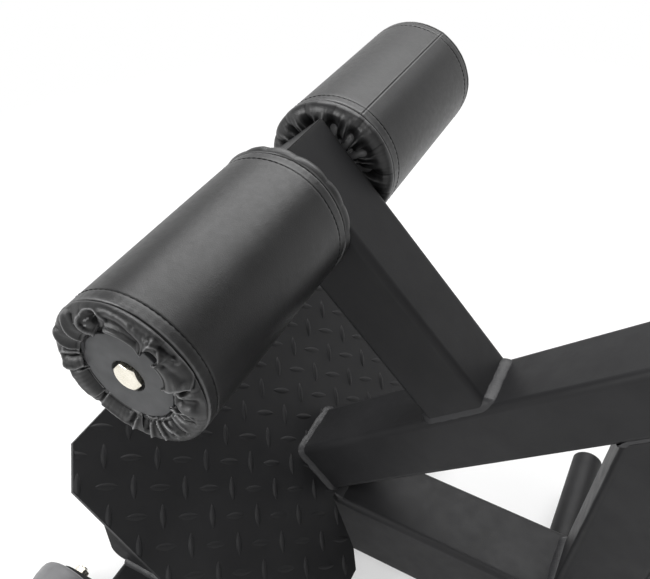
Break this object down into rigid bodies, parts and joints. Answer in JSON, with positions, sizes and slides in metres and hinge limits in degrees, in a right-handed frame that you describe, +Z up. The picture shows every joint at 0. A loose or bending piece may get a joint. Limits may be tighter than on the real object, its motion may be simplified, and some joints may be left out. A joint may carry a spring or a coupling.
{
  "type": "hyperextension bench",
  "caption": "Inclined back extension bench: welded tube frame with a tread footplate, leather ankle rollers, and hip pads on a sliding carriage with handles.",
  "frame": {"origin": "on the floor, midway between the ends and the sides of the bench", "axes": "+X along the bench towards the hip pads, +Z up, +Y to the side away from the pull pin"},
  "size_m": [0.932, 0.606, 0.8341],
  "materials": {
    "frame_paint": "matte black powder coat",
    "plate_paint": "matte black powder coat on tread plate",
    "leather": "black grained leather, satin",
    "foam": "closed-cell foam, matte",
    "board": "plywood, sealed",
    "black_plastic": "matte black",
    "grip_rubber": "matte black rubber",
    "foot_rubber": "matte black rubber",
    "bright_steel": "machined steel, satin",
    "disc_steel": "dark grey phosphated steel, matte",
    "zinc": "yellow-passivated zinc plating",
    "wheel_plastic": "light grey plastic"
  },
  "bodies": {
    "frame": {"base_tube": "frame_paint", "rear_crossbar": "frame_paint", "front_crossbar": "frame_paint", "front_flange": "frame_paint", "flange_bolts": "zinc", "flange_nuts": "zinc", "upright": "frame_paint", "main_rail": "frame_paint", "rail_liner": "black_plastic", "roller_post": "frame_paint", "post_cap": "black_plastic", "footplate": "plate_paint", "wing_support_near": "frame_paint", "wing_support_far": "frame_paint", "wheel_fork_near": "frame_paint", "wheel_fork_far": "frame_paint", "wheel_bolts": "zinc", "wheel_nuts": "zinc", "rear_cap_near": "black_plastic", "rear_cap_far": "black_plastic", "front_cap_near": "black_plastic", "front_cap_far": "black_plastic", "foot_rear_near": "foot_rubber", "foot_rear_far": "foot_rubber", "foot_front_near": "foot_rubber", "foot_front_far": "foot_rubber", "foot_screws": "zinc", "band_peg_near": "frame_paint", "band_peg_far": "frame_paint", "peg_plugs": "black_plastic", "roller_axle": "bright_steel", "end_disc_near": "disc_steel", "end_disc_far": "disc_steel", "axle_bolts": "zinc", "roller_spacers": "black_plastic", "pin_barrel": "bright_steel"},
    "roller_near": {"roller_core_near": "black_plastic", "roller_foam_near": "foam", "roller_cover_near": "leather"},
    "roller_far": {"roller_core_far": "black_plastic", "roller_foam_far": "foam", "roller_cover_far": "leather"},
    "wheel_near": {"wheel_near": "wheel_plastic"},
    "wheel_far": {"wheel_far": "wheel_plastic"},
    "pad_carriage": {"inner_tube": "frame_paint", "inner_glide": "black_plastic", "inner_cap": "black_plastic", "cross_tube_lower": "frame_paint", "cross_tube_upper": "frame_paint", "cross_tube_plugs": "black_plastic", "pad_board_near": "board", "pad_board_far": "board", "pad_cushion_near": "leather", "pad_cushion_far": "leather", "pad_bolts": "zinc", "handle_bar": "frame_paint", "grip_near": "grip_rubber", "grip_far": "grip_rubber"},
    "pull_pin": {"pull_pin": "bright_steel", "pull_knob": "black_plastic"}
  },
  "joints": [
    {"name": "roller_near_spin", "type": "hinge", "parent": "frame", "child": "roller_near", "pos_m": [-0.29248, -0.118, 0.41301], "axis": [0, 1, 0], "continuous": true},
    {"name": "roller_far_spin", "type": "hinge", "parent": "frame", "child": "roller_far", "pos_m": [-0.29248, 0.118, 0.41301], "axis": [0, 1, 0], "continuous": true},
    {"name": "wheel_near_spin", "type": "hinge", "parent": "frame", "child": "wheel_near", "pos_m": [-0.434, -0.215, 0.037], "axis": [0, 1, 0], "continuous": true},
    {"name": "wheel_far_spin", "type": "hinge", "parent": "frame", "child": "wheel_far", "pos_m": [-0.434, 0.215, 0.037], "axis": [0, 1, 0], "continuous": true},
    {"name": "pad_slide", "type": "slide", "parent": "frame", "child": "pad_carriage", "axis": [0.7071, 0, 0.7071], "range_m": [-0.1, 0.1]},
    {"name": "pin_pull", "type": "slide", "parent": "frame", "child": "pull_pin", "axis": [0, 1, 0], "range_m": [0, 0.008]}
  ]
}
